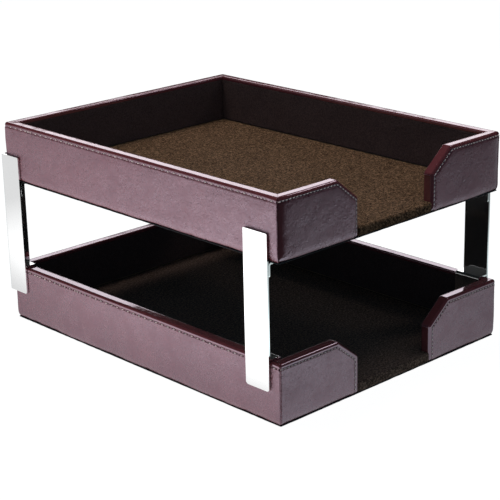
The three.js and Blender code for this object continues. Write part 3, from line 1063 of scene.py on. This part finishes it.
def steel_material():
    n = Surface("polished_steel")
    brushed = n.add("ShaderNodeMapping", {"Vector": n.position, "Scale": (60, 60, 1.2)})
    streaks = n.noise(40, 5, 0.7, brushed.outputs["Vector"])
    smudges = n.noise(34, 3, 0.6, distortion=0.5)
    colour = n.blend(smudges, (0.955, 0.957, 0.955), (0.90, 0.905, 0.91))
    rough = n.plus(n.ramp(smudges, 0.3, 0.75, 0.035, 0.10), n.ramp(streaks, 0.4, 0.8, 0.0, 0.05))
    return n.set(Base_Color=colour, Metallic=1.0, Roughness=rough,
                 Normal=n.bump(smudges, 0.0002, 0.15))


LEATHER = leather_material()
THREAD = thread_material()
SUEDE_FLOOR = suede_material(
    "brown_suede_floor", (0.092, 0.046, 0.023), (0.215, 0.121, 0.068), 0.03, 1.0, 1.0)
# The lower tray's floor: a cooler, less red copy of the floor's suede, as painted shade under the
# upper tray
SUEDE_SHADED_FLOOR = suede_material(
    "brown_suede_floor_in_painted_shade", (0.080, 0.048, 0.037), (0.190, 0.122, 0.093), 0.03, 0.9, 1.0)
# The linings of the walls and wings: a darker, cooler copy of the floor's suede, as painted shade
# on the walls
SUEDE_SHADED_WALL = suede_material(
    "brown_suede_walls_in_painted_shade", (0.072, 0.043, 0.039), (0.128, 0.080, 0.074), 0.04, 0.4, 1.5)
FELT = felt_material()
BOARD = board_material()
STEEL = steel_material()

# Tray pieces

for tier in LEVELS:
    rear = f"{tier}_rear_wall"
    long_panel(rear, tier, "rear", 1)
    wall_lining(rear, tier, "rear", 1, HALF_WIDTH - WALL - GLUE_LINE)
    floor_lining(tier)
    felt_sheet(tier)
    for side, side_name in ((-1, "left"), (1, "right")):
        wall, wing = f"{tier}_{side_name}_wall", f"{tier}_{side_name}_wing"
        long_panel(wall, tier, "wall", side)
        wall_lining(wall, tier, "wall", side, HALF_DEPTH - LINING_OUTER)
        wing_panel(wing, tier, side)
        wing_lining(wing, tier, side)

# The frame's own nodes, with lengths in metres

WELD_DISTANCE = 0.00001
SOFT_EDGE_WIDTH = 0.00028

for name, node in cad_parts.items():
    is_board, is_post = name.endswith("_board"), "_post_" in name
    if is_board or is_post:
        node.data.materials.clear()
        node.data.materials.append(BOARD if is_board else STEEL)
    if is_post:
        weld = node.modifiers.new("weld", "WELD")
        weld.merge_threshold = WELD_DISTANCE
        edges = node.modifiers.new("soft_edges", "BEVEL")
        edges.width = SOFT_EDGE_WIDTH
        edges.segments = 3
        edges.limit_method = "ANGLE"
        edges.angle_limit = math.radians(35)
        node.data.polygons.foreach_set("use_smooth", [True] * len(node.data.polygons))
        shading = node.modifiers.new("flat_faces", "WEIGHTED_NORMAL")
        shading.weight = 100


# Camera, from the photograph

CAMERA_PLACE = Vector((-0.8767, -0.9345, 0.5068))
CAMERA_YAW = math.radians(43.229)
CAMERA_PITCH = math.radians(18.794)
CAMERA_ROLL = math.radians(-1.248)
FOCAL_PIXELS = 1548.9
IMAGE_PIXELS = 500
SENSOR = 36.0

forward = Vector((math.cos(CAMERA_PITCH) * math.sin(CAMERA_YAW),
                  math.cos(CAMERA_PITCH) * math.cos(CAMERA_YAW), -math.sin(CAMERA_PITCH)))
right = Vector((math.cos(CAMERA_YAW), -math.sin(CAMERA_YAW), 0))
up = right.cross(forward)
rolled_right = right * math.cos(CAMERA_ROLL) + up * math.sin(CAMERA_ROLL)
rolled_up = up * math.cos(CAMERA_ROLL) - right * math.sin(CAMERA_ROLL)

camera_data = bpy.data.cameras.new("camera")
camera_data.sensor_fit = "HORIZONTAL"
camera_data.sensor_width = SENSOR
camera_data.lens = SENSOR * FOCAL_PIXELS / IMAGE_PIXELS
camera_data.clip_end = 30
scene.camera = new_object("camera", camera_data)
scene.camera.matrix_world = Matrix.Translation(CAMERA_PLACE) @ Matrix(
    (rolled_right, rolled_up, -forward)).transposed().to_4x4()


# Floor, world and lamps, in metres

FLOOR_REACH = 14.0
FLOOR_LEVEL = -0.0002
WHITE = (1.0, 1.0, 1.0)


def floor_material():
    """White, with the object's shadow. In reflections it is dark in front of the near corner."""
    material = bpy.data.materials.new("studio_floor")
    material.use_nodes = True
    material.node_tree.nodes.clear()
    n = Nodes(material.node_tree)
    path = n.add("ShaderNodeLightPath").outputs
    place = n.add("ShaderNodeTexCoord").outputs["Object"]
    split = n.add("ShaderNodeSeparateXYZ", {0: place}).outputs
    x, y = split["X"], split["Y"]
    # The near corner's bearing and distance
    across = n.plus(x, HALF_WIDTH * MM)
    ahead = n.times(n.plus(y, HALF_DEPTH * MM), -1.0)
    bearing = n.maths("ARCTAN2", across, ahead)
    distance = n.maths("SQRT", n.plus(n.times(across, across), n.times(ahead, ahead)))
    # The dark part narrows towards the corner
    right_bearing = n.plus(bearing, n.smooth(distance, 0.06, 0.2, math.radians(25), 0.0))
    left_bearing = n.maths("SUBTRACT", bearing,
                           n.smooth(distance, 0.06, 0.2, math.radians(45), 0.0))
    # Painted glow in front of the tray, which the wings mirror
    front = n.times(n.ramp(y, -0.75, -0.05, 0.32, 0.78), n.smooth(ahead, 0.0, 0.1, 0.8, 1.0))
    # A band of painted glow, which shows lighter in the foot of the upper wings
    band = n.times(n.smooth(ahead, 0.08, 0.11, 1.0, 1.7), n.smooth(ahead, 0.13, 0.2, 1.0, 0.588))
    front = n.times(n.times(front, band), n.ramp(x, -0.1, 0.45, 1.29, 0.36))
    right = n.times(n.smooth(right_bearing, math.radians(30), math.radians(46)), front)
    right = n.times(right, n.smooth(path["Is Glossy Ray"], 0.0, 1.0, 0.45, 1.0))
    # Painted glow to the left, brighter towards the front, which the left walls mirror and which
    # lights them
    left = n.times(n.smooth(across, -0.02, -0.14, 0.43, 1.0), n.ramp(y, 0.10, 0.48, 1.9, 0.75))
    left = n.times(n.smooth(left_bearing, math.radians(-75), math.radians(-115)), left)
    shown = n.plus(path["Is Camera Ray"], path["Is Transmission Ray"])
    unseen = n.maths("SUBTRACT", 1.0, shown)
    paint = n.ramp(shown, 0.0, 1.0, 0.04, 0.14)
    total = n.add("ShaderNodeBsdfDiffuse", {"Color": paint}).outputs[0]
    for strength, colour in ((n.times(left, unseen), WHITE),
                             (n.times(right, unseen), (0.95, 1.09, 1.10)),
                             (n.times(shown, 0.97), WHITE)):
        glow = n.add("ShaderNodeEmission", {"Color": colour, "Strength": strength})
        total = n.add("ShaderNodeAddShader", {0: total, 1: glow.outputs[0]}).outputs[0]
    n.add("ShaderNodeOutputMaterial", {"Surface": total})
    return material


floor_mesh = bpy.data.meshes.new("studio_floor")
floor_mesh.from_pydata([(x * FLOOR_REACH, y * FLOOR_REACH, FLOOR_LEVEL)
                        for x, y in ((-1, -1), (1, -1), (1, 1), (-1, 1))], [], [(0, 1, 2, 3)])
floor_mesh.materials.append(floor_material())
studio_floor = new_object("studio_floor", floor_mesh)


def make_world():
    """White to the camera. Reflections find a low white backdrop behind the object in a dark
    room, and all other light is a faint, even blue."""
    world = bpy.data.worlds.new("studio")
    scene.world = world
    world.use_nodes = True
    world.node_tree.nodes.clear()
    n = Nodes(world.node_tree)

    def background(colour, strength):
        return n.add("ShaderNodeBackground", {"Color": colour, "Strength": strength}).outputs[0]

    def either(factor, first, second):
        return n.add("ShaderNodeMixShader", {0: factor, 1: first, 2: second}).outputs[0]

    path = n.add("ShaderNodeLightPath").outputs
    way = n.add("ShaderNodeTexCoord").outputs["Generated"]
    split = n.add("ShaderNodeSeparateXYZ", {0: way}).outputs
    backdrop = n.times(n.smooth(split["Z"], 0.0, 0.16, 1.1, 0.0), n.smooth(split["Y"], 0.2, 0.55))
    reflected = n.add("ShaderNodeAddShader", {0: background(WHITE, backdrop),
                                              1: background((0.55, 0.80, 1.0), 0.015)}).outputs[0]
    unseen = either(path["Is Glossy Ray"], background((0.50, 0.80, 1.10), 0.18), reflected)
    whole = either(path["Is Camera Ray"], unseen, background(WHITE, 1.0))
    n.add("ShaderNodeOutputWorld", {"Surface": whole})


def softbox(name, place, target, width, height, power, mirrored=True, spread=True):
    """A rectangular lamp that the camera doesn't see, with or without mirrored and spread light."""
    data = bpy.data.lights.new(name, "AREA")
    data.shape = "RECTANGLE"
    data.size, data.size_y = width, height
    data.energy = power
    lamp = new_object(name, data)
    lamp.location = place
    lamp.visible_camera = False
    lamp.visible_glossy = mirrored
    lamp.visible_diffuse = spread
    lamp.rotation_euler = (Vector(target) - Vector(place)).to_track_quat("-Z", "Y").to_euler()


make_world()
softbox("main_softbox", (-0.12, 0.38, 1.72), (0, 0, 0.1), 0.7, 0.7, 14.4, mirrored=False)
softbox("fill_softbox", (0.15, -0.42, 1.75), (0, 0, 0.1), 0.5, 0.5, 2.0, mirrored=False)
softbox("back_softbox", (1.3, 1.38, 0.79), (0, 0, 0.12), 1.3, 0.31, 3.0, spread=False)
softbox("right_softbox", (1.0, -0.5, 1.2), (0, 0, 0.12), 0.24, 0.24, 1.2)

scene.view_settings.view_transform = "Standard"
